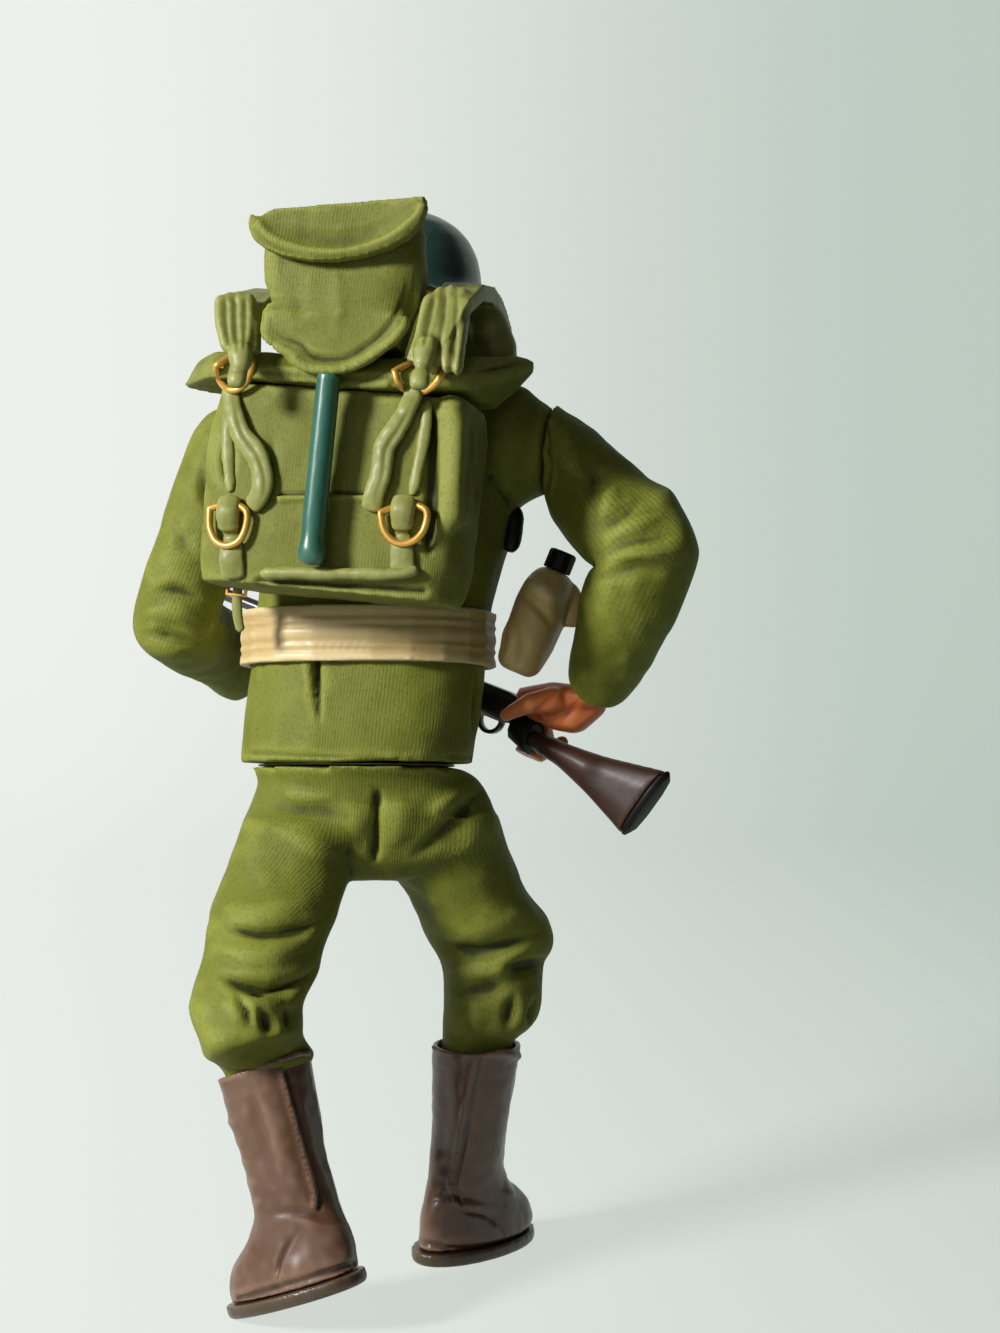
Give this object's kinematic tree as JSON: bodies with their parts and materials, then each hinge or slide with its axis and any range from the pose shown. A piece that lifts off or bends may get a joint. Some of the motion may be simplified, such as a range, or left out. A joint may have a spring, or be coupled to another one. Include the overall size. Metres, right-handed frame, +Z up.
{
  "type": "toy soldier figure",
  "caption": "Toy soldier figure in olive field dress with helmet, backpack, shovel handle, canteen, rifle and tall boots, walking; turning waist and head, arms that lift with the rifle.",
  "frame": {"origin": "centre of the bounding box's footprint, on the floor under the right sole and left toe", "axes": "+Z up; the hips face -Y and the figure's left side is +X"},
  "size_m": [0.062, 0.0552, 0.1165],
  "materials": {
    "uniform": "matte",
    "pack": "matte",
    "belt": "matte",
    "buckle": "satin",
    "helmet": "semi-gloss",
    "handle": "gloss",
    "skin": "satin",
    "canteen": "matte",
    "black": "satin",
    "wood": "satin",
    "gunmetal": "satin",
    "boot": "satin",
    "sole": "satin",
    "peg": "matte"
  },
  "bodies": {
    "legs": {"trousers": "uniform", "right_boot": "boot", "left_boot": "boot", "right_sole": "sole", "left_sole": "sole", "waist_peg": "peg"},
    "torso": {"jacket": "uniform", "belt": "belt", "belt_buckle": "buckle", "pack_body": "pack", "pack_peg": "peg", "pack_lid": "pack", "pouch": "pack", "pouch_flap": "pack", "shovel_handle": "handle", "left_shoulder_strap": "pack", "right_shoulder_strap": "pack", "left_strap_tail": "pack", "right_strap_tail": "pack", "left_lower_strap": "pack", "right_lower_strap": "pack", "left_upper_buckle": "buckle", "right_upper_buckle": "buckle", "left_lower_buckle": "buckle", "right_lower_buckle": "buckle", "pack_piping": "pack", "canteen_cover": "canteen", "canteen_cap": "black", "side_case": "gunmetal", "hip_strap": "pack", "hip_buckle": "buckle"},
    "head": {"head": "skin", "helmet": "helmet"},
    "arms": {"shoulder_axle": "peg", "right_sleeve": "uniform", "left_sleeve": "uniform", "right_hand": "skin", "left_hand": "skin", "rifle_butt": "wood", "butt_plate": "black", "grip_collar": "black", "rifle_receiver": "gunmetal", "rifle_forend": "wood", "rifle_barrel": "gunmetal"}
  },
  "joints": [
    {"name": "waist_turn", "type": "hinge", "parent": "legs", "child": "torso", "pos_m": [0.0057, 0.00425, 0.05564], "axis": [-0.005, -0.1236, 0.9923], "range_deg": [-20, 20]},
    {"name": "neck_turn", "type": "hinge", "parent": "torso", "child": "head", "pos_m": [0.0013, -0.00355, 0.10129], "axis": [-0.1134, -0.0973, 0.9888], "range_deg": [-35, 35]},
    {"name": "arms_raise", "type": "hinge", "parent": "torso", "child": "arms", "pos_m": [0.00169, 0.00081, 0.09064], "axis": [-0.9666, 0.241, -0.0872], "range_deg": [0, 40]}
  ]
}
